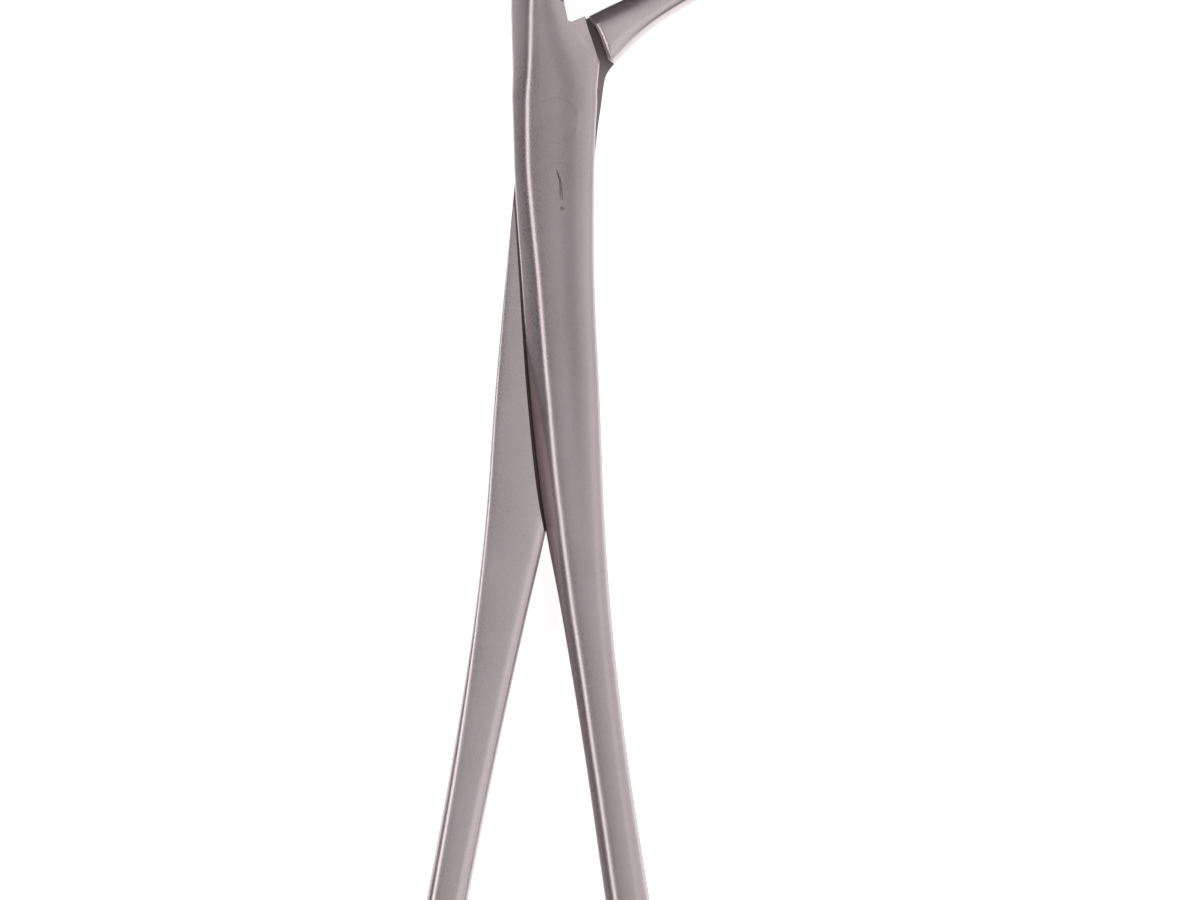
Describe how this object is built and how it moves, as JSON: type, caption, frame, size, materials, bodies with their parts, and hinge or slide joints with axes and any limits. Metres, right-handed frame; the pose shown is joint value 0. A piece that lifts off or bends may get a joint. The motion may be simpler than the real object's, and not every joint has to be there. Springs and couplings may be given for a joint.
{
  "type": "extraction forceps",
  "caption": "Hawk's-bill dental extraction forceps in satin stainless steel, with crossing handles, a half-lap joint on a flush rivet and beaks at right angles to the handles.",
  "frame": {"origin": "where the hinge rivet's axis meets the flat back of the joint", "axes": "+Z along the hinge axis, out of the flat back towards the front half; +Y from the handles towards the top of the outer beak; +X the way the beaks point"},
  "size_m": [0.048, 0.152, 0.0096],
  "materials": {
    "front_half_steel": "satin",
    "rear_half_steel": "satin",
    "rivet_steel": "polished"
  },
  "bodies": {
    "rear": {"rear_half": "rear_half_steel", "hinge_rivet": "rivet_steel"},
    "front": {"front_half": "front_half_steel"}
  },
  "joints": [
    {"name": "hinge", "type": "hinge", "parent": "rear", "child": "front", "pos_m": [0, 0, 0.0048], "axis": [0, 0, 1], "range_deg": [0, 30]}
  ]
}
